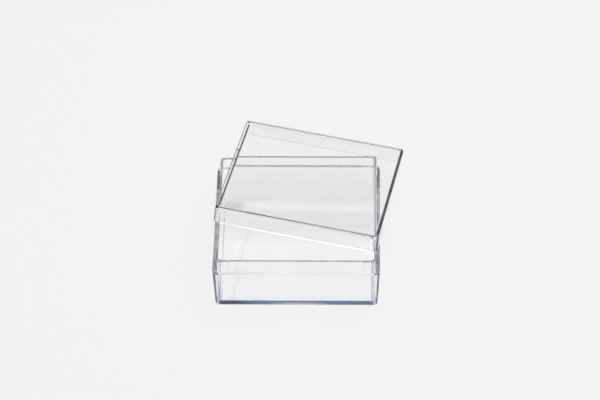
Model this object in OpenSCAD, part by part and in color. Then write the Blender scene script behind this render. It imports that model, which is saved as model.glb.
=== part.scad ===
// Square clear plastic storage box with a lift-off lid that lies askew on the rim.
// Millimetres, +Z up, origin at the centre of the bottom.

/* [Box] */
// Outside width at the ledge, left to right
width = 133; // [110:1:160]
// Outside depth at the ledge, front to back
depth = 133; // [110:1:160]
// Height of the base, from its bottom to the top of its rim
base_height = 46; // [36:1:80]
// How far each outer wall leans in from the ledge down to the bottom
wall_lean = 1.8; // [0.4:0.1:2.4]
// Corner radius of the outside at the ledge
corner_radius = 5; // [4.4:0.1:8]
// Radius along the bottom edge
bottom_round = 1.6; // [0.6:0.1:2]
// Thickness of the floor
floor_thickness = 3; // [2:0.1:6]

/* [Rim] */
// Height of the rim above the ledge that the lid seats on
rim_height = 11.6; // [8:0.1:18]
// Width of the ledge
ledge_width = 2.5; // [2:0.1:3.2]
// Wall thickness of the rim at its foot
rim_thickness = 2.2; // [1.6:0.1:3.5]
// How far the rim's outer face leans in from the ledge to its top
rim_lean = 0.3; // [0.1:0.05:0.6]
// Radius along both top edges of the rim
rim_round = 0.5; // [0.2:0.1:0.6]
// Radius along the ledge, at its outer edge and at the rim's foot
ledge_round = 0.4; // [0.2:0.1:0.5]
// Length of the guiding land at each corner, from the outside of the box
land_length = 13; // [9:0.5:30]
// Depth of the relief between the corner lands
relief_depth = 0.5; // [0.2:0.1:0.8]

/* [Inside] */
// How far each inner wall leans in from the rim down to the floor
cavity_lean = 0.8; // [0.2:0.1:1.6]
// Corner radius of the inside at the rim
cavity_radius = 3.6; // [3:0.1:6]
// Radius along the floor inside
cavity_round = 2.2; // [0.6:0.1:2.4]

/* [Lid] */
// Thickness of the lid's plate
lid_thickness = 3.6; // [2:0.1:5]
// How far the skirt flares out from the plate to its lower edge
skirt_flare = 0.4; // [0.1:0.1:1]
// Radius along the lid's upper edge
lid_round = 0.9; // [0.4:0.1:1.5]
// Radius along the skirt's lower edge
skirt_round = 0.5; // [0.2:0.1:0.6]
// Radius where the plate meets the skirt inside
lid_fillet = 1; // [0.4:0.1:1.6]
// Gap between the skirt and the rim's corner lands when closed
lid_clearance = 0.3; // [0.2:0.05:0.6]
// Gap between the plate and the rim when the skirt sits on the ledge
seat_clearance = 0.3; // [0.2:0.05:1]

/* [Lid at rest] */
// Turn of the lid seen from above
lid_turn = -9.5; // [-13:0.5:-8]
// Offset of the skirt's centre to the right
lid_right = 9.5; // [7:0.5:10.5]
// Offset of the skirt's centre to the back
lid_back = 21.5; // [16:0.1:26]
// Gap left where the lid lies on the rim
rest_gap = 0.25; // [0.1:0.05:0.5]

/* [Hidden] */
$fn = 64;
clear_plastic = [0.88, 0.93, 0.94, 0.4];
cut_margin = 1;

ledge_z = base_height - rim_height;
rim_radius = corner_radius - ledge_width;
rim_half = [width / 2 - ledge_width, depth / 2 - ledge_width];
rim_top_half = rim_half - [rim_lean, rim_lean];
corner_span = [width, depth] - 2 * [corner_radius, corner_radius];
cavity_span = 2 * (rim_half - (rim_thickness + cavity_radius) * [1, 1]);
skirt_depth = rim_height + seat_clearance;
lid_height = skirt_depth + lid_thickness;
skirt_radius = rim_radius + lid_clearance;
skirt_inner = rim_half.x + lid_clearance;
lid_offset = [lid_right, lid_back];
// The point of the back right rim corner that the lid's plate comes down on
rim_corner = corner_span / 2 + (rim_radius - rim_lean) * [cos(45), sin(45)];

function unit(v) = v / norm(v);

// Points of the arc of radius r that rounds the corner p between its neighbours a and b
function fillet(a, p, b, r, steps = 6) =
    let (
        to_a = unit(a - p),
        to_b = unit(b - p),
        half_angle = acos(to_a * to_b) / 2,
        centre = p + unit(to_a + to_b) * r / sin(half_angle),
        from = p + to_a * r / tan(half_angle) - centre,
        to = p + to_b * r / tan(half_angle) - centre,
        start = atan2(from.y, from.x),
        sweep = (atan2(to.y, to.x) - start + 540) % 360 - 180
    )
    [for (i = [0:steps]) let (t = start + sweep * i / steps) centre + r * [cos(t), sin(t)]];

// A closed outline from corners given as [x, y, radius]
function rounded(path) =
    let (count = len(path), flat = [for (p = path) [p.x, p.y]])
    [for (i = [0:count - 1])
        each path[i].z == 0
            ? [flat[i]]
            : fillet(flat[(i + count - 1) % count], flat[i], flat[(i + 1) % count], path[i].z)];

// Directions of the lid's own X and Y seen from above, at a tilt of [front up, right down]
function turned(v, angle) = [v.x * cos(angle) - v.y * sin(angle), v.x * sin(angle) + v.y * cos(angle)];
function lid_x(tilt) = turned([cos(tilt.y), -sin(tilt.x) * sin(tilt.y)], lid_turn);
function lid_y(tilt) = turned([0, cos(tilt.x)], lid_turn);

// Where the left skirt crosses the back rim, and the right skirt the right rim
function left_contact(tilt) =
    let (from = lid_offset - skirt_inner * lid_x(tilt))
    from + lid_y(tilt) * (rim_top_half.y - from.y) / lid_y(tilt).y;
function right_contact(tilt) =
    let (from = lid_offset + skirt_inner * lid_x(tilt))
    from + lid_y(tilt) * (rim_top_half.x - from.x) / lid_y(tilt).x;

// Slopes of the skirt's lower plane, level from left to right contact and lower by drop at the corner
function slopes(left, right, drop) =
    let (level = left - right, fall = rim_corner - left)
    drop / (level.x * fall.y - level.y * fall.x) * [level.y, -level.x];

// Tilt and height at which the lid lies on its three contacts
function settle(steps, tilt = [0, 0]) =
    let (
        left = left_contact(tilt),
        slope = slopes(left, right_contact(tilt), skirt_depth / (cos(tilt.x) * cos(tilt.y))),
        up = 1 / norm([slope.x, slope.y, 1]),
        lean = turned(-up * slope, -lid_turn),
        next = [atan2(lean.y, up), asin(lean.x)],
        height = base_height + rest_gap + slope * (lid_offset - left)
    )
    steps == 0 ? [next, height] : settle(steps - 1, next);

lid_rest = settle(5);

// Sweeps an outline round a plan with round corners: the outline's x runs outward from the
// corners' centres, span is the distance between them, and fill is the height range in between
module swept(span, fill, outline) {
    module wall(length) rotate([90, 0, 0]) linear_extrude(length, center = true) polygon(outline);
    translate([-span.x / 2, -span.y / 2, fill[0]]) cube([span.x, span.y, fill[1] - fill[0]]);
    for (side = [0:3]) {
        across = side % 2 == 0 ? span : [span.y, span.x];
        rotate(90 * side) {
            translate([across.x / 2, 0, 0]) wall(across.y);
            translate([across.x / 2, across.y / 2, 0]) rotate_extrude(angle = 90) polygon(outline);
        }
    }
}

module base_outside() {
    swept(corner_span, [0, base_height], rounded([
        [0, 0, 0],
        [corner_radius - wall_lean, 0, bottom_round],
        [corner_radius, ledge_z, ledge_round],
        [rim_radius, ledge_z, ledge_round],
        [rim_radius - rim_lean, base_height, rim_round],
        [0, base_height, 0]
    ]));
}

module base_inside() {
    lip = cavity_radius + rim_round;
    swept(cavity_span, [floor_thickness, base_height + cut_margin], concat(
        rounded([
            [0, base_height, 0],
            [0, floor_thickness, 0],
            [cavity_radius - cavity_lean, floor_thickness, cavity_round],
            [cavity_radius, base_height - rim_round, 0]
        ]),
        [for (t = [165:-15:90]) [lip, base_height - rim_round] + rim_round * [cos(t), sin(t)]],
        [[lip, base_height + cut_margin], [0, base_height + cut_margin]]
    ));
}

// Shallow cuts down the rim's outer faces between the corner lands
module rim_reliefs() {
    reach = ledge_width + relief_depth + cut_margin;
    for (side = [0:3]) {
        half = side % 2 == 0 ? rim_half : [rim_half.y, rim_half.x];
        length = (side % 2 == 0 ? depth : width) - 2 * land_length;
        rotate(90 * side)
            translate([half.x - relief_depth, -length / 2, ledge_z])
                cube([reach, length, rim_height + cut_margin]);
    }
}

module base() {
    color(clear_plastic) difference() {
        base_outside();
        base_inside();
        rim_reliefs();
    }
}

module lid_shell() {
    swept(corner_span, [skirt_depth, lid_height], rounded([
        [0, skirt_depth, 0],
        [skirt_radius - rim_lean, skirt_depth, lid_fillet],
        [skirt_radius, 0, skirt_round],
        [corner_radius, 0, skirt_round],
        [corner_radius - skirt_flare, lid_height, lid_round],
        [0, lid_height, 0]
    ]));
}

module lid() {
    color(clear_plastic)
        translate([lid_offset.x, lid_offset.y, lid_rest[1]])
            rotate([0, 0, lid_turn])
                rotate([-lid_rest[0].x, 0, 0])
                    rotate([0, lid_rest[0].y, 0])
                        lid_shell();
}

base();
lid();
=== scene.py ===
# Clear storage box with its lid lying askew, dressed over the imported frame
import math

import bmesh
import bpy
from mathutils import Matrix, Vector


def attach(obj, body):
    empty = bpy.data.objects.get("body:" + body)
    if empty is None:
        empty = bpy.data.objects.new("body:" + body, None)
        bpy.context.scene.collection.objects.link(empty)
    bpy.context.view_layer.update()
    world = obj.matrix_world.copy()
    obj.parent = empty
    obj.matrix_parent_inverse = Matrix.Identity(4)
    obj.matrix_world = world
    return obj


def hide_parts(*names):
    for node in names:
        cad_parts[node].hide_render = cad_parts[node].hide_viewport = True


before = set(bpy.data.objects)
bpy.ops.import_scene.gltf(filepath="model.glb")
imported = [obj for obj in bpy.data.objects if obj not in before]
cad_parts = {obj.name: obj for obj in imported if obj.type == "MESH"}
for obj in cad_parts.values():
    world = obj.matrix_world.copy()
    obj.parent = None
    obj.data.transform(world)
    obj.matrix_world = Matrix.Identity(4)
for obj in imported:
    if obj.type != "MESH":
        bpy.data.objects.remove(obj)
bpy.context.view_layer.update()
mm = 0.001
near = 0.02 * mm  # places nearer than this count as one
rightwards = Vector((1, 0, 0))
backwards = Vector((0, 1, 0))
upwards = Vector((0, 0, 1))

boxPlan = {
    "half": 66.5 * mm,  # outside at the ledge, from the middle to a side
    "cornerRadius": 5.0 * mm,
    "cornerSteps": 12,
    "roundSteps": 6,
    "panelArea": 40 * mm * mm,  # a larger face counts as a flat panel
    "facing": 0.9,  # share of a normal along an axis that counts as facing that way
    "level": 0.99,  # the same for a face that is truly level
    "weld": 0.001 * mm,
    "smoothAngle": 40,  # degrees; sharper edges stay sharp
    "flatWeight": 100,  # how strongly the large flats lead the shading
}
straight = boxPlan["half"] - boxPlan["cornerRadius"]  # where a side's straight run ends


def pick(*pieces):
    # selects these pieces and nothing else, with the first one active
    if bpy.context.object and bpy.context.object.mode != "OBJECT":
        bpy.ops.object.mode_set(mode="OBJECT")
    bpy.ops.object.select_all(action="DESELECT")
    for piece in pieces:
        piece.select_set(True)
    if pieces:
        bpy.context.view_layer.objects.active = pieces[0]


def roundPath(corners):
    # corners are (inward, height, radius); round ones become short arcs
    steps = boxPlan["roundSteps"]
    path = []
    for i, (x, z, radius) in enumerate(corners):
        here = Vector((x, z))
        if radius == 0:
            path.append(here)
            continue
        toLast = (Vector(corners[i - 1][:2]) - here).normalized()
        toNext = (Vector(corners[i + 1][:2]) - here).normalized()
        halfAngle = toLast.angle(toNext) / 2
        centre = here + (toLast + toNext).normalized() * radius / math.sin(halfAngle)
        first = here + toLast * radius / math.tan(halfAngle) - centre
        last = here + toNext * radius / math.tan(halfAngle) - centre
        turn = first.angle_signed(last)
        for step in range(steps + 1):
            path.append(centre + Matrix.Rotation(-turn * step / steps, 2) @ first)
    return path


def addOutline(name, half, radius, height, facing):
    # a square sheet with round corners, facing up (1) or down (-1), ready for its walls to be drawn in
    pick()
    bpy.ops.mesh.primitive_plane_add(size=2 * half, location=(0, 0, height))
    sheet = bpy.context.object
    sheet.name = name
    bpy.ops.object.transform_apply(location=True, rotation=True, scale=True)
    bpy.ops.object.mode_set(mode="EDIT")
    bpy.ops.mesh.select_all(action="SELECT")
    bpy.ops.mesh.bevel(offset=radius, segments=boxPlan["cornerSteps"], affect="VERTICES")
    bpy.ops.mesh.select_all(action="SELECT")
    if facing < 0:
        bpy.ops.mesh.flip_normals()
    return sheet


def drawIn(path, facing):
    # follows the path from its first point, one inset for each next point
    for last, here in zip(path, path[1:]):
        bpy.ops.mesh.inset(
            thickness=max(here.x - last.x, 0.0),
            depth=(here.y - last.y) * facing,
            use_even_offset=True,
            use_boundary=True,
        )


def joinPieces(name, pieces):
    # one piece out of several, welded where they meet, and left in edit mode
    pick(*pieces)
    bpy.ops.object.join()
    pieces[0].name = name
    pieces[0].data.name = name
    bpy.ops.object.mode_set(mode="EDIT")
    bpy.ops.mesh.select_all(action="SELECT")
    bpy.ops.mesh.remove_doubles(threshold=boxPlan["weld"])
    return pieces[0]


def selectInEdit(piece, kind, wanted):
    # selects the vertices, edges or faces for which wanted(element) is true
    bpy.ops.mesh.select_all(action="DESELECT")
    modes = {"verts": "VERT", "edges": "EDGE", "faces": "FACE"}
    bpy.ops.mesh.select_mode(type=modes[kind])
    mesh = bmesh.from_edit_mesh(piece.data)
    for element in getattr(mesh, kind):
        element.select_set(bool(wanted(element)))
    mesh.select_flush_mode()
    bmesh.update_edit_mesh(piece.data)


def divideFaces(piece, wanted, place, axis):
    # divides the wanted faces where a plane crosses the axis, so that a zone or a step can end there
    selectInEdit(piece, "faces", wanted)
    bpy.ops.mesh.bisect(plane_co=axis * place, plane_no=axis)


def finishSurface(piece):
    # smooth rounds, with the large flats kept truly flat
    pick(piece)
    bpy.ops.object.shade_smooth_by_angle(angle=math.radians(boxPlan["smoothAngle"]))
    weighted = piece.modifiers.new("flatFaces", "WEIGHTED_NORMAL")
    weighted.mode = "FACE_AREA"
    weighted.weight = boxPlan["flatWeight"]
    weighted.keep_sharp = True
    bpy.ops.object.modifier_apply(modifier=weighted.name)


basePiece = {
    "height": 46.0 * mm,
    "wallLean": 1.8 * mm,
    "bottomRound": 1.6 * mm,
    "floorThickness": 3.0 * mm,
    "rimHeight": 11.6 * mm,
    "ledgeWidth": 2.5 * mm,
    "rimThickness": 2.2 * mm,
    "rimLean": 0.3 * mm,
    "rimRound": 0.5 * mm,
    "ledgeRound": 0.4 * mm,
    "landLength": 13.0 * mm,  # guiding land at each corner, from the outside
    "landStep": 0.4 * mm,  # length of the slope at each end of a land
    "reliefDepth": 0.5 * mm,
    "reliefFacing": -0.5,  # rim faces that look further in than this are left whole
    "cavityLean": 0.8 * mm,
    "cavityRadius": 3.6 * mm,
    "cavityRound": 2.2 * mm,
    "paintedFootHeight": 5.4 * mm,  # the front's lowest strip, where the floor's edge splits the light, painted with that light's colours and shade
    "fringeHeight": 3.5 * mm,  # the lower part of it, with all the painted colours
    "frontFacing": -0.05,  # faces that look further to the front than this belong to the front
    "slabBack": 54.0 * mm,  # beyond this the slab's underside lets its light out
    "ledgeDark": 37.0 * mm,  # behind this the side ledges carry a darker painted shade
    "edgeRight": 0.6,  # front corner faces turned further right than this carry its painted dark line
    "edgeLeft": -0.5,  # the same at the left
    "edgeFoot": 0.6,  # the same low down, on both sides
    "backCorner": 0.3,  # back corner faces turned further right than this carry a darker painted shade
}


def reliefOnSide(piece, out):
    # draws the middle of one side's rim in, and leaves a guiding land at each corner
    base = basePiece
    along = Vector((-out.y, out.x, 0))
    rimHalf = boxPlan["half"] - base["ledgeWidth"]
    ledge = base["height"] - base["rimHeight"]
    landEnd = boxPlan["half"] - base["landLength"]
    lip = rimHalf - base["rimThickness"]
    top = rimHalf - base["rimLean"] - base["rimRound"]

    def onRim(face):
        middle = face.calc_center_median()
        return (
            abs(middle.dot(along)) < straight
            and face.normal.dot(out) > base["reliefFacing"]
            and all(v.co.dot(out) > lip - near and v.co.z > ledge - near for v in face.verts)
        )

    def onRelief(vert):
        return (
            abs(vert.co.dot(along)) < landEnd - base["landStep"] + near
            and vert.co.z > ledge - near
            and top - near < vert.co.dot(out) < rimHalf + base["ledgeRound"] + near
        )

    for cut in (landEnd, landEnd - base["landStep"]):
        for sign in (-1, 1):
            divideFaces(piece, onRim, sign * cut, along)
    selectInEdit(piece, "verts", onRelief)
    bpy.ops.transform.translate(value=-base["reliefDepth"] * out)


# names each face's zone; many edge, corner and ledge zones carry painted shade, and the front foot painted
# colours of split light
def baseZone(face):
    base = basePiece
    at = face.center
    ledge = base["height"] - base["rimHeight"]
    rimInside = boxPlan["half"] - base["ledgeWidth"] - base["rimThickness"]
    inside = max(abs(at.x), abs(at.y)) < rimInside + near and at.z > base["floorThickness"] - near
    front = at.y < -straight
    back = at.y > straight
    if at.z > base["height"] - base["rimRound"] - near:
        return "rimEdge"
    if inside and near < at.z - base["floorThickness"] < base["cavityRound"]:
        return "cavityFillet"
    if not inside and front and near < at.z < base["paintedFootHeight"]:
        if abs(at.x) > straight:
            return "cornerEdge" if abs(face.normal.x) > base["edgeFoot"] else "footCorner"
        return "footFringe" if at.z < base["fringeHeight"] else "frontFoot"
    if not inside and near < at.z < base["bottomRound"]:
        return "backFoot" if back else "sideFoot"
    if not inside and abs(at.z - ledge) < base["ledgeRound"] + near:
        if back:
            return "backLedge"
        if abs(at.x) < straight or at.z > ledge + near:
            return "ledge"
        return "sideLedgeBack" if at.y > base["ledgeDark"] else "sideLedge"
    if face.area < boxPlan["panelArea"]:
        if back and not inside and face.normal.x > base["backCorner"]:
            return "backCorner"
        if not front or inside or abs(at.x) < straight:
            return "corner"
        onEdge = face.normal.x > base["edgeRight"] or face.normal.x < base["edgeLeft"]
        return "cornerEdge" if onEdge else "corner"
    if abs(face.normal.x) > boxPlan["facing"]:
        return "sideRim" if at.z > ledge else "sideWall"
    if at.z < base["floorThickness"] + near:
        return "slabBack" if at.z < near and at.y > base["slabBack"] else "floorSlab"
    return "frontWall" if at.y < 0 else "backWall"


def makeBase():
    base = basePiece
    half = boxPlan["half"]
    radius = boxPlan["cornerRadius"]
    top = base["height"]
    ledge = top - base["rimHeight"]
    rimFoot = base["ledgeWidth"]
    outside = roundPath(
        [
            (radius, 0, 0),
            (base["wallLean"], 0, base["bottomRound"]),
            (0, ledge, base["ledgeRound"]),
            (rimFoot, ledge, base["ledgeRound"]),
            (rimFoot + base["rimLean"], top, base["rimRound"]),
            (rimFoot + base["rimLean"] + base["rimRound"], top, 0),
        ]
    )
    outside = outside[1:-1]  # the ends only give the rounds their directions
    widest = min(range(len(outside)), key=lambda i: outside[i].x)
    edge = outside[widest]
    lower = addOutline("lowerShell", half - edge.x, radius - edge.x, edge.y, -1)
    drawIn(outside[widest::-1], -1)
    upper = addOutline("upperShell", half - edge.x, radius - edge.x, edge.y, 1)
    drawIn(outside[widest:], 1)
    bpy.ops.mesh.delete(type="FACE")  # open at the top, for the cavity

    lip = rimFoot + base["rimThickness"] - base["rimRound"]
    inside = roundPath(
        [
            (-radius, top, 0),
            (base["rimRound"], top, base["rimRound"]),
            (base["rimRound"] + base["cavityLean"], base["floorThickness"], base["cavityRound"]),
            (2 * radius, base["floorThickness"], 0),
        ]
    )
    inside = inside[1:-1]
    start = inside[0].x
    cavityRadius = base["cavityRadius"] + base["rimRound"] - start
    cavity = addOutline("cavityShell", half - lip - start, cavityRadius, top, 1)
    drawIn(inside, 1)
    piece = joinPieces("boxBase", [lower, upper, cavity])
    selectInEdit(piece, "edges", lambda e: e.is_boundary)
    bpy.ops.mesh.bridge_edge_loops()

    def onFront(face, below):
        return face.normal.y < base["frontFacing"] and face.calc_center_median().z < below

    def onSideLedge(face):
        middle = face.calc_center_median()
        return abs(middle.z - ledge) < base["ledgeRound"] and abs(middle.x) > straight

    divideFaces(piece, lambda f: onFront(f, ledge), base["paintedFootHeight"], upwards)
    divideFaces(piece, lambda f: onFront(f, base["paintedFootHeight"]), base["fringeHeight"], upwards)
    divideFaces(piece, lambda f: f.normal.z < -boxPlan["level"], base["slabBack"], backwards)
    divideFaces(piece, onSideLedge, base["ledgeDark"], backwards)
    for out in (-backwards, rightwards, backwards, -rightwards):
        reliefOnSide(piece, out)
    bpy.ops.object.mode_set(mode="OBJECT")
    paintZones(piece, baseZone)
    finishSurface(piece)
    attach(piece, "base")
    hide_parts("base")
    print("base modelled:", len(piece.data.polygons), "faces")
    return piece


lidPiece = {
    "thickness": 3.6 * mm,
    "skirtFlare": 0.4 * mm,
    "edgeRound": 0.9 * mm,
    "skirtRound": 0.5 * mm,
    "insideFillet": 1.0 * mm,
    "clearance": 0.3 * mm,
    "seatClearance": 0.3 * mm,
    "rightLine": 1.4 * mm,  # painted dark line along the plate's right side, as shade
    "backLine": 1.2 * mm,  # the next painted dark line inward, along its back
    "sideLine": 0.35 * mm,  # painted dark line along the plate's left side, underneath
    "backFacing": 0.5,  # edge faces that look further to the back than this belong to the back
    "frontFacing": -0.1,  # the same at the front
    "filletFacing": -0.05,  # inside faces that look further down than this belong to the fillet
    "cornerEdge": 0.75,  # front corner faces turned further out than this carry a painted dark line
    "topNormal": 0.999,  # packed faces this close to the plate's normal,
    "topBand": 0.1 * mm,  # and this close to its height, are its top
}


def lidPose():
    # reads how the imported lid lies: its plate's normal, its right side and the middle of its top
    lid = lidPiece
    mesh = bpy.data.objects["lid"].data

    def largestFacing(axis):
        faces = (f for f in mesh.polygons if f.normal.dot(axis) > boxPlan["facing"])
        return max(faces, key=lambda f: f.area).normal

    up = largestFacing(upwards)
    right = largestFacing(rightwards)
    right = (right - up * right.dot(up)).normalized()
    reach = max(v.co.dot(up) for v in mesh.vertices)
    middle = Vector()
    area = 0
    for face in mesh.polygons:
        if face.normal.dot(up) > lid["topNormal"] and face.center.dot(up) > reach - lid["topBand"]:
            middle += face.center * face.area
            area += face.area
    middle /= area
    back = up.cross(right)
    turn = Matrix((right, back, up)).transposed().to_4x4()
    return Matrix.Translation(middle) @ turn


# names each face's zone; many of the lid's lines, rounds and fillets carry painted shade
def lidZone(face):
    # the lid still lies level here, with its top at height 0
    lid = lidPiece
    at = face.center
    depth = lid["thickness"] + basePiece["rimHeight"] + lid["seatClearance"]
    plateEdge = boxPlan["half"] - lid["skirtFlare"] - lid["edgeRound"] - lid["rightLine"]
    if -lid["edgeRound"] < at.z < -near:
        if face.normal.y > lid["backFacing"]:
            return "lidBackRound"
        return "lidFrontRound" if face.normal.y < lid["frontFacing"] else "lidSideRound"
    if at.z < -depth + lid["skirtRound"]:
        return "frontSkirtFoot" if at.y < -straight else "skirtFoot"
    if near < -lid["thickness"] - at.z < lid["insideFillet"] and face.normal.z < lid["filletFacing"]:
        return "leftFillet" if at.x < 0 and abs(at.y) < straight else "lidFillet"
    if abs(at.z + lid["thickness"]) < near and -at.x > straight > abs(at.y):
        return "leftFillet"
    if abs(at.z) < near and at.x > plateEdge:
        return "lidRightLine"
    if abs(at.z) < near and straight < at.y < plateEdge:
        return "lidBackLine"
    if face.area < boxPlan["panelArea"]:
        outward = face.normal.x * at.x > 0
        onEdge = outward and abs(face.normal.x) > lid["cornerEdge"] and at.y < 0
        return "cornerEdge" if onEdge else "corner"
    return "lidPlate" if abs(face.normal.z) > boxPlan["facing"] else "lidSkirt"


def makeLid():
    lid = lidPiece
    base = basePiece
    half = boxPlan["half"]
    radius = boxPlan["cornerRadius"]
    height = base["rimHeight"] + lid["seatClearance"] + lid["thickness"]
    wall = base["ledgeWidth"] - lid["clearance"]
    section = roundPath(
        [
            (radius, 0, 0),
            (lid["skirtFlare"], 0, lid["edgeRound"]),
            (0, -height, lid["skirtRound"]),
            (wall, -height, lid["skirtRound"]),
            (wall + base["rimLean"], -lid["thickness"], lid["insideFillet"]),
            (2 * radius, -lid["thickness"], 0),
        ]
    )
    section = section[1:-1]
    widest = min(range(len(section)), key=lambda i: section[i].x)
    edge = section[widest]
    plate = addOutline("lidPlate", half - edge.x, radius - edge.x, edge.y, 1)
    drawIn(section[widest::-1], 1)
    for line in ("rightLine", "backLine"):
        bpy.ops.mesh.inset(thickness=lid[line], depth=0)
    skirt = addOutline("lidSkirt", half - edge.x, radius - edge.x, edge.y, -1)
    drawIn(section[widest:], -1)
    bpy.ops.mesh.inset(thickness=lid["sideLine"], depth=0)
    piece = joinPieces("boxLid", [plate, skirt])
    bpy.ops.object.mode_set(mode="OBJECT")
    paintZones(piece, lidZone)
    piece.matrix_world = lidPose()
    pick(piece)
    bpy.ops.object.transform_apply(location=True, rotation=True, scale=True)
    finishSurface(piece)
    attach(piece, "lid")
    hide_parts("lid")
    print("lid modelled:", len(piece.data.polygons), "faces")
    return piece


class Value:
    # a shader value that takes part in Python sums
    def __init__(self, shader, socket):
        self.shader = shader
        self.socket = socket

    def sum(self, operation, a, b):
        return self.shader.node("ShaderNodeMath", {"operation": operation}, {0: a, 1: b})

    def __add__(self, other):
        return self.sum("ADD", self, other)

    def __sub__(self, other):
        return self.sum("SUBTRACT", self, other)

    def __rsub__(self, other):
        return self.sum("SUBTRACT", other, self)

    def __mul__(self, other):
        return self.sum("MULTIPLY", self, other)

    def __truediv__(self, other):
        return self.sum("DIVIDE", self, other)

    def __neg__(self):
        return self.sum("MULTIPLY", self, -1.0)

    def root(self):
        return self.sum("SQRT", self, 0.0)

    def above(self, limit):
        return self.sum("GREATER_THAN", self, limit)

    __radd__ = __add__
    __rmul__ = __mul__


class Shader:
    def __init__(self, owner):
        owner.use_nodes = True
        self.tree = owner.node_tree
        self.tree.nodes.clear()

    def node(self, kind, settings=None, inputs=None, output=0):
        made = self.tree.nodes.new(kind)
        for name, value in (settings or {}).items():
            if name == "stops":
                ramp = made.color_ramp.elements
                while len(ramp) < len(value):
                    ramp.new(0.5)
                for stop, (place, colour) in zip(ramp, value):
                    stop.position = place
                    stop.color = colour
            else:
                setattr(made, name, value)
        for name, value in (inputs or {}).items():
            if isinstance(value, Value):
                self.tree.links.new(value.socket, made.inputs[name])
            else:
                made.inputs[name].default_value = value
        return Value(self, made.outputs[output]) if made.outputs else None

    def other(self, value, output):
        # another output of the node that gave this value
        return Value(self, value.socket.node.outputs[output])

    def mix(self, share, under, over, blend="MIX"):
        settings = {"data_type": "RGBA", "blend_type": blend}
        return self.node("ShaderNodeMix", settings, {0: share, 6: under, 7: over}, output=2)

    def colours(self, value, points):
        # colours that change evenly from one (value, colour) point to the next
        first, last = points[0][0], points[-1][0]
        stops = [((place - first) / (last - first), (*colour, 1.0)) for place, colour in points]
        spread = self.node("ShaderNodeMapRange", {}, {0: value, 1: first, 2: last, 3: 0.0, 4: 1.0})
        return self.node("ShaderNodeValToRGB", {"stops": stops}, {0: spread})

    def ramp(self, value, points):
        # straight lines between (value, level) points, and the end levels beyond them
        top = max(level for place, level in points)
        return self.colours(value, [(place, (level / top,) * 3) for place, level in points]) * top


# tints darker than the panels' are painted shade along edges, rounds, ledges, lines and corners, where the
# plastic bends the light away; the blue foot tints are painted colours of the light that the floor's front
# edge splits
plasticZones = {  # red, green, blue; trapped light let out, its level; light passed straight on
    "frontWall": (0.972, 0.974, 0.98, 0.7, 1.0, 0.0),
    "backWall": (0.988, 0.989, 0.993, 0.2, 1.0, 0.0),
    "sideWall": (0.985, 0.986, 0.992, 0.95, 1.0, 0.0),
    "sideRim": (0.985, 0.986, 0.992, 0.8, 0.7, 0.0),
    "rimEdge": (0.35, 0.34, 0.37, 0.5, 0.3, 0.0),
    "floorSlab": (0.988, 0.989, 0.993, 0.18, 1.0, 0.0),
    "slabBack": (0.988, 0.989, 0.993, 0.95, 1.0, 0.0),
    "cavityFillet": (1.0, 1.0, 1.0, 0.9, 1.0, 0.0),
    "corner": (0.985, 0.984, 0.99, 0.8, 1.0, 0.0),
    "backCorner": (0.7, 0.68, 0.72, 0.6, 0.4, 0.0),
    "cornerEdge": (0.03, 0.03, 0.06, 0.9, 0.04, 0.0),
    "ledge": (0.988, 0.989, 0.993, 0.9, 1.0, 0.2),
    "sideLedge": (0.3, 0.28, 0.33, 0.9, 0.25, 0.0),
    "sideLedgeBack": (0.03, 0.03, 0.04, 0.95, 0.02, 0.0),
    "backLedge": (0.72, 0.7, 0.73, 0.6, 0.5, 0.0),
    "sideFoot": (0.9, 0.9, 0.93, 0.2, 1.0, 0.0),
    "backFoot": (0.98, 0.98, 0.985, 0.9, 1.0, 0.0),
    "frontFoot": (0.06, 0.27, 0.8, 0.3, 0.3, 0.0),
    "footFringe": (1.0, 1.0, 1.0, 0.3, 0.2, 0.0),  # coloured by the fringe below
    "footCorner": (0.5, 0.75, 1.0, 0.5, 0.9, 0.0),
    "lidPlate": (0.98, 0.982, 0.986, 0.9, 1.0, 0.0),
    "lidRightLine": (0.008, 0.008, 0.012, 1.0, 0.0, 0.0),
    "lidBackLine": (0.12, 0.13, 0.13, 0.95, 0.1, 0.0),
    "lidFrontRound": (0.2, 0.19, 0.23, 0.9, 0.1, 0.0),
    "lidSideRound": (0.04, 0.04, 0.05, 0.95, 0.02, 0.0),
    "lidBackRound": (0.97, 0.975, 0.98, 0.9, 1.0, 0.0),
    "lidSkirt": (0.985, 0.986, 0.99, 0.8, 1.0, 0.0),
    "lidFillet": (0.95, 0.95, 0.96, 0.95, 1.0, 0.0),
    "leftFillet": (0.02, 0.02, 0.03, 1.0, 0.0, 0.0),
    "skirtFoot": (0.9, 0.9, 0.91, 0.9, 0.9, 0.3),
    "frontSkirtFoot": (1.0, 1.0, 1.0, 0.0, 1.0, 0.0),
}

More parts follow.
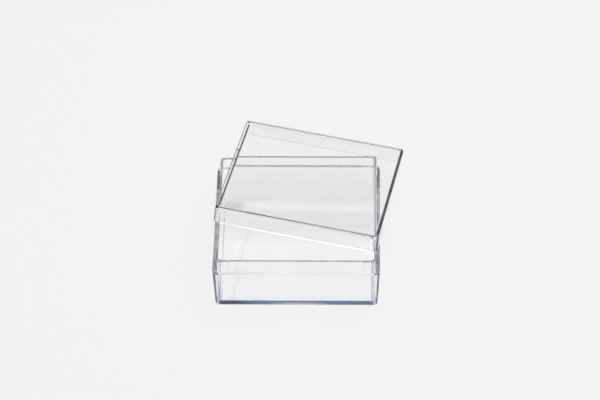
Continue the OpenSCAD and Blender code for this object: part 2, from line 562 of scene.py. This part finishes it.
plasticFinish = {
    "ior": 1.585,
    "leakTint": (0.95, 0.95, 0.98, 1.0),
    "darkLeak": (0.01, 0.012, 0.02, 1.0),
    "trappedFrom": 0.98,  # light that the surface mirrors more than this is trapped
    "smudge": (38.0, 3.0),  # scale and detail of a noise, as in the next ones named alone
    "smudgeRough": 0.03,
    "hair": (1.0, 1.0),  # fine scratches, drawn out along one direction
    "hairTurn": (0.3, 0.2, 0.6),
    "hairStretch": (12, 420, 420),
    "hairLine": ((0.7, 0.0), (0.76, 1.0)),
    "hairRough": 0.07,
    "wave": (18.0, 1.0),  # faint unevenness of the moulded faces
    "waveStrength": 0.15,
    "waveHeight": 0.2 * mm,
    "cloud": (24.0, 2.0),  # patches with a little more tint
    "grain": (80.0, 2.0),
    "patchLine": ((0.8, 0.0), (1.2, 1.0)),
    "footMask": {"frontFoot": 1, "footFringe": 2},  # zones with the foot's painted shade, and with its painted colours too
    "shadedFrom": 0.5,
    "colouredFrom": 1.5,
    "footShade": ((-0.066, 1.0), (-0.048, 1.0), (-0.035, 0.4), (0.0, 0.0), (0.03, 0.05), (0.062, 0.4)),
    "footDark": (0.06, 0.08, 0.14, 1.0),
    "fringe": (  # colours that the floor's front edge splits the light into, from left to right
        (-0.06, (0.22, 0.2, 0.24)),
        (-0.04, (0.1, 0.16, 0.3)),
        (-0.022, (0.12, 0.22, 0.45)),
        (-0.008, (0.8, 0.55, 0.45)),
        (0.012, (0.75, 0.55, 0.47)),
        (0.026, (0.06, 0.13, 0.32)),
        (0.046, (0.12, 0.09, 0.11)),
        (0.06, (0.12, 0.1, 0.12)),
    ),
}


def paintZones(piece, zoneOf):
    # keeps each face's zone with it: colour (tint and painted shade) and share in one attribute, level,
    # calm and foot in the other
    piece.data.attributes.new("zone", "FLOAT_COLOR", "FACE")
    piece.data.attributes.new("leak", "FLOAT_VECTOR", "FACE")
    zones = piece.data.attributes["zone"]
    leaks = piece.data.attributes["leak"]
    for face in piece.data.polygons:
        name = zoneOf(face)
        *tintShadeAndShare, level, calm = plasticZones[name]
        zones.data[face.index].color = tintShadeAndShare
        leaks.data[face.index].vector = (level, calm, plasticFinish["footMask"].get(name, 0))


def clearPlastic():
    finish = plasticFinish
    material = bpy.data.materials.new("clearPlastic")
    shader = Shader(material)
    place = shader.node("ShaderNodeTexCoord", output="Object")

    def noise(at, name):
        scale, detail = finish[name]
        return shader.node("ShaderNodeTexNoise", {}, {"Vector": at, "Scale": scale, "Detail": detail})

    stretch = {"Vector": place, "Rotation": finish["hairTurn"], "Scale": finish["hairStretch"]}
    stretched = shader.node("ShaderNodeMapping", {}, stretch)
    hair = shader.ramp(noise(stretched, "hair"), finish["hairLine"])
    rough = noise(place, "smudge") * finish["smudgeRough"] + hair * finish["hairRough"]
    wave = noise(place, "wave")
    uneven = {"Strength": finish["waveStrength"], "Distance": finish["waveHeight"], "Height": wave}
    bumped = shader.node("ShaderNodeBump", {}, uneven)

    zone = shader.node("ShaderNodeAttribute", {"attribute_name": "zone"}, output="Color")
    leaks = shader.node("ShaderNodeAttribute", {"attribute_name": "leak"}, output="Vector")
    apart = shader.node("ShaderNodeSeparateXYZ", {}, {0: leaks})
    level, calm, foot = (shader.other(apart, axis) for axis in "XYZ")
    patch = shader.ramp(noise(place, "cloud") + noise(place, "grain"), finish["patchLine"])
    # the zone colours, with random patches of a little more tint; their darker colours are painted shade
    tintAndShade = shader.mix(patch, zone, zone, "MULTIPLY")
    along = shader.node("ShaderNodeSeparateXYZ", {}, {0: place})
    # painted colours of the light that the floor's front edge splits, set along the front foot from left
    # to right
    fringe = shader.colours(along, finish["fringe"])
    tintAndShade = shader.mix(foot.above(finish["colouredFrom"]), tintAndShade, fringe)
    # painted shade along the front foot, darker at its left
    dim = foot.above(finish["shadedFrom"]) * shader.ramp(along, finish["footShade"])
    tintAndShade = shader.mix(dim, tintAndShade, finish["footDark"], "MULTIPLY")
    surface = shader.node(
        "ShaderNodeBsdfPrincipled",
        {},
        {
            "Base Color": tintAndShade,
            "Roughness": rough,
            "IOR": finish["ior"],
            "Transmission Weight": 1.0,
            "Normal": bumped,
        },
    )

    # light that would go round inside the plastic for ever comes out, brighter or darker by zone
    fresnel = shader.node("ShaderNodeFresnel", {}, {"IOR": finish["ior"]})
    trapped = fresnel.above(finish["trappedFrom"])
    bright = shader.node("ShaderNodeBsdfTransparent", {}, {"Color": finish["leakTint"]})
    dark = shader.node("ShaderNodeBsdfTransparent", {}, {"Color": finish["darkLeak"]})
    leak = shader.node("ShaderNodeMixShader", {}, {0: level, 1: dark, 2: bright})
    share = calm + (1 - calm) * trapped * shader.other(zone, "Alpha")
    mixed = shader.node("ShaderNodeMixShader", {}, {0: share, 1: surface, 2: leak})
    shader.node("ShaderNodeOutputMaterial", {}, {"Surface": mixed})
    print("plastic mixed")
    return material


studio = {
    "floorSize": 8.0,
    "floorLevel": -0.2 * mm,  # a hair below the box, so that two faces don't share one plane
    "paper": (0.925, 0.935, 0.93, 1.0),
    "paperRoughness": 0.3,
    "paperGlow": 0.9,  # how much of the paper's tone is its own where it is seen
    "paperInGlass": 0.2,  # share of the pale surroundings that the plastic mirrors and bends
    "topCard": ((0.78, 0.0), (0.9, 0.8)),  # sine of height, level
    "backCard": ((0.2, 0.05), (0.41, 0.4), (0.58, 0.8), (0.7, 0.6), (0.85, 0.0)),
    "frontCard": ((0.0, 0.2), (0.45, 0.4), (0.6, 0.7), (0.8, 0.7), (0.9, 0.0)),
    "cardEdge": ((0.55, 0.0), (0.85, 1.0)),
    "streakTurn": 0.03,  # light that the back wall gathers on the floor under the box
    "streakLength": ((-0.05, 0.0), (-0.038, 1.0), (0.05, 1.0), (0.062, 0.0)),
    "streakWidth": ((0.044, 0.0), (0.049, 1.0), (0.053, 1.0), (0.058, 0.0)),
    "streakLift": 0.13,
    "shadeLength": ((-0.075, 0.0), (-0.06, 1.0), (0.055, 1.0), (0.075, 0.0)),  # the lid's soft shade
    "shadeWidth": ((0.005, 0.0), (0.025, 1.0), (0.085, 1.0), (0.11, 0.0)),
    "shadeDrop": 0.1,
    "nookLength": ((-0.066, 0.0), (-0.06, 1.0), (-0.05, 1.0), (-0.044, 0.0)),  # painted shade, darker left of the streak
    "nookDrop": 0.2,
    "lampPlace": (0.45, 0.15, 1.0),
    "lampSize": 1.0,
    "lampPower": 4.0,
}


def paperFloor():
    material = bpy.data.materials.new("paperFloor")
    shader = Shader(material)
    seen = shader.node("ShaderNodeLightPath", output="Is Camera Ray")
    seen = seen + shader.other(seen, "Is Glossy Ray") + shader.other(seen, "Is Transmission Ray")
    look = {"Base Color": studio["paper"], "Roughness": studio["paperRoughness"]}
    paper = shader.node("ShaderNodeBsdfPrincipled", {}, look)
    spot = shader.node("ShaderNodeTexCoord", output="Object")
    turn = {"Vector": spot, "Rotation": (0, 0, studio["streakTurn"])}
    apart = shader.node("ShaderNodeSeparateXYZ", {}, {0: shader.node("ShaderNodeMapping", {}, turn)})
    along, across = shader.other(apart, "X"), shader.other(apart, "Y")
    band = shader.ramp(across, studio["streakWidth"])
    level = 1 + shader.ramp(along, studio["streakLength"]) * band * studio["streakLift"]
    level = level - shader.ramp(along, studio["nookLength"]) * band * studio["nookDrop"]
    shade = shader.ramp(along, studio["shadeLength"]) * shader.ramp(across, studio["shadeWidth"])
    level = level - shade * studio["shadeDrop"]
    tone = {0: studio["paper"][:3], "Scale": level}
    lit = shader.node("ShaderNodeVectorMath", {"operation": "SCALE"}, tone)
    glow = shader.node("ShaderNodeEmission", {}, {"Color": lit, "Strength": 1.0})
    share = seen * studio["paperGlow"]
    mixed = shader.node("ShaderNodeMixShader", {}, {0: share, 1: paper, 2: glow})
    shader.node("ShaderNodeOutputMaterial", {}, {"Surface": mixed})
    return material


def softCards():
    # pale surroundings for the camera, and light cards above, behind and in front of the box
    world = bpy.data.worlds.new("studio")
    bpy.context.scene.world = world
    shader = Shader(world)
    direction = shader.node("ShaderNodeTexCoord", output="Generated")
    apart = shader.node("ShaderNodeSeparateXYZ", {}, {0: direction})
    across, away, up = (shader.other(apart, axis) for axis in "XYZ")
    facing = away / (across * across + away * away).root()  # -1 towards the camera, 1 behind the box
    sky = shader.ramp(up, studio["topCard"])
    sky = sky + shader.ramp(up, studio["backCard"]) * shader.ramp(facing, studio["cardEdge"])
    sky = sky + shader.ramp(up, studio["frontCard"]) * shader.ramp(-facing, studio["cardEdge"])
    seen = shader.node("ShaderNodeLightPath", output="Is Camera Ray")
    mirrored = shader.other(seen, "Is Glossy Ray") + shader.other(seen, "Is Transmission Ray")
    colour = shader.mix(seen + mirrored * studio["paperInGlass"], sky, studio["paper"])
    light = shader.node("ShaderNodeBackground", {}, {"Color": colour, "Strength": 1.0})
    shader.node("ShaderNodeOutputWorld", {}, {"Surface": light})


def makeStudio():
    pick()
    bpy.ops.mesh.primitive_plane_add(size=studio["floorSize"], location=(0, 0, studio["floorLevel"]))
    floor = bpy.context.object
    floor.name = "floor"
    floor.data.materials.append(paperFloor())
    softCards()
    bpy.ops.object.light_add(type="AREA", location=studio["lampPlace"])
    lamp = bpy.context.object
    lamp.name = "softbox"
    lamp.data.size = studio["lampSize"]
    lamp.data.energy = studio["lampPower"]
    print("studio set")


photoCamera = {
    "aim": (1.68 * mm, 27.38 * mm, 31.69 * mm),
    "elevation": 40.78,  # degrees, as are the next two
    "swing": 1.38,
    "roll": -0.71,
    "distance": 2.545,
    "lens": 187.6,
    "farthest": 50.0,
}


def makeCamera():
    shot = photoCamera
    turn = (
        Matrix.Rotation(math.radians(shot["swing"]), 4, "Z")
        @ Matrix.Rotation(math.radians(90 - shot["elevation"]), 4, "X")
        @ Matrix.Rotation(math.radians(shot["roll"]), 4, "Z")
    )
    place = Vector(shot["aim"]) + turn.to_3x3() @ Vector((0, 0, shot["distance"]))
    bpy.ops.object.camera_add()
    camera = bpy.context.object
    camera.name = "photoCamera"
    camera.matrix_world = Matrix.Translation(place) @ turn
    camera.data.lens = shot["lens"]
    camera.data.clip_end = shot["farthest"]
    bpy.context.scene.camera = camera
    bpy.context.scene.view_settings.view_transform = "Standard"
    print("camera set")


makeCamera()
plastic = clearPlastic()
for piece in (makeBase(), makeLid()):
    piece.data.materials.clear()
    piece.data.materials.append(plastic)
makeStudio()
